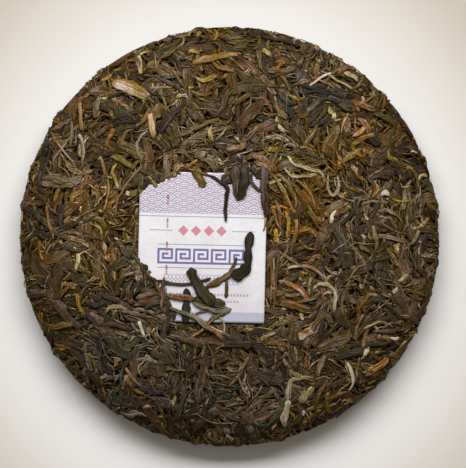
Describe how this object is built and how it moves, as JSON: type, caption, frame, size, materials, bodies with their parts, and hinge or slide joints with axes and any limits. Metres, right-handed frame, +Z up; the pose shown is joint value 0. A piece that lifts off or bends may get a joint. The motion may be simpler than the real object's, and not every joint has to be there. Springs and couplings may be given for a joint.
{
  "type": "pu erh tea cake",
  "caption": "Round pressed cake of dark whole tea leaves, gently domed, with a knot hollow underneath and a rectangular paper ticket set in its top.",
  "frame": {"origin": "middle of the underside, on the surface that the cake rests on", "axes": "+Z up out of the domed face that carries the ticket, +Y towards the ticket's top edge, +X to the ticket's right"},
  "size_m": [0.1981, 0.1985, 0.026],
  "materials": {
    "pressed_tea": "dry dark olive-brown tea leaves, lightly waxy, with paler stems and golden tips",
    "ticket_paper": "thin uncoated off-white paper with a soft lavender print",
    "loose_leaf": "dry twisted dark tea leaf, slightly glossy on its ridges"
  },
  "bodies": {
    "root": {"tea_cake": "pressed_tea", "paper_ticket": "ticket_paper", "hooked_leaf": "loose_leaf", "strap_leaf": "loose_leaf", "short_stem": "loose_leaf", "broad_leaf": "loose_leaf", "amber_leaf": "loose_leaf", "upright_leaf": "loose_leaf"}
  },
  "joints": []
}
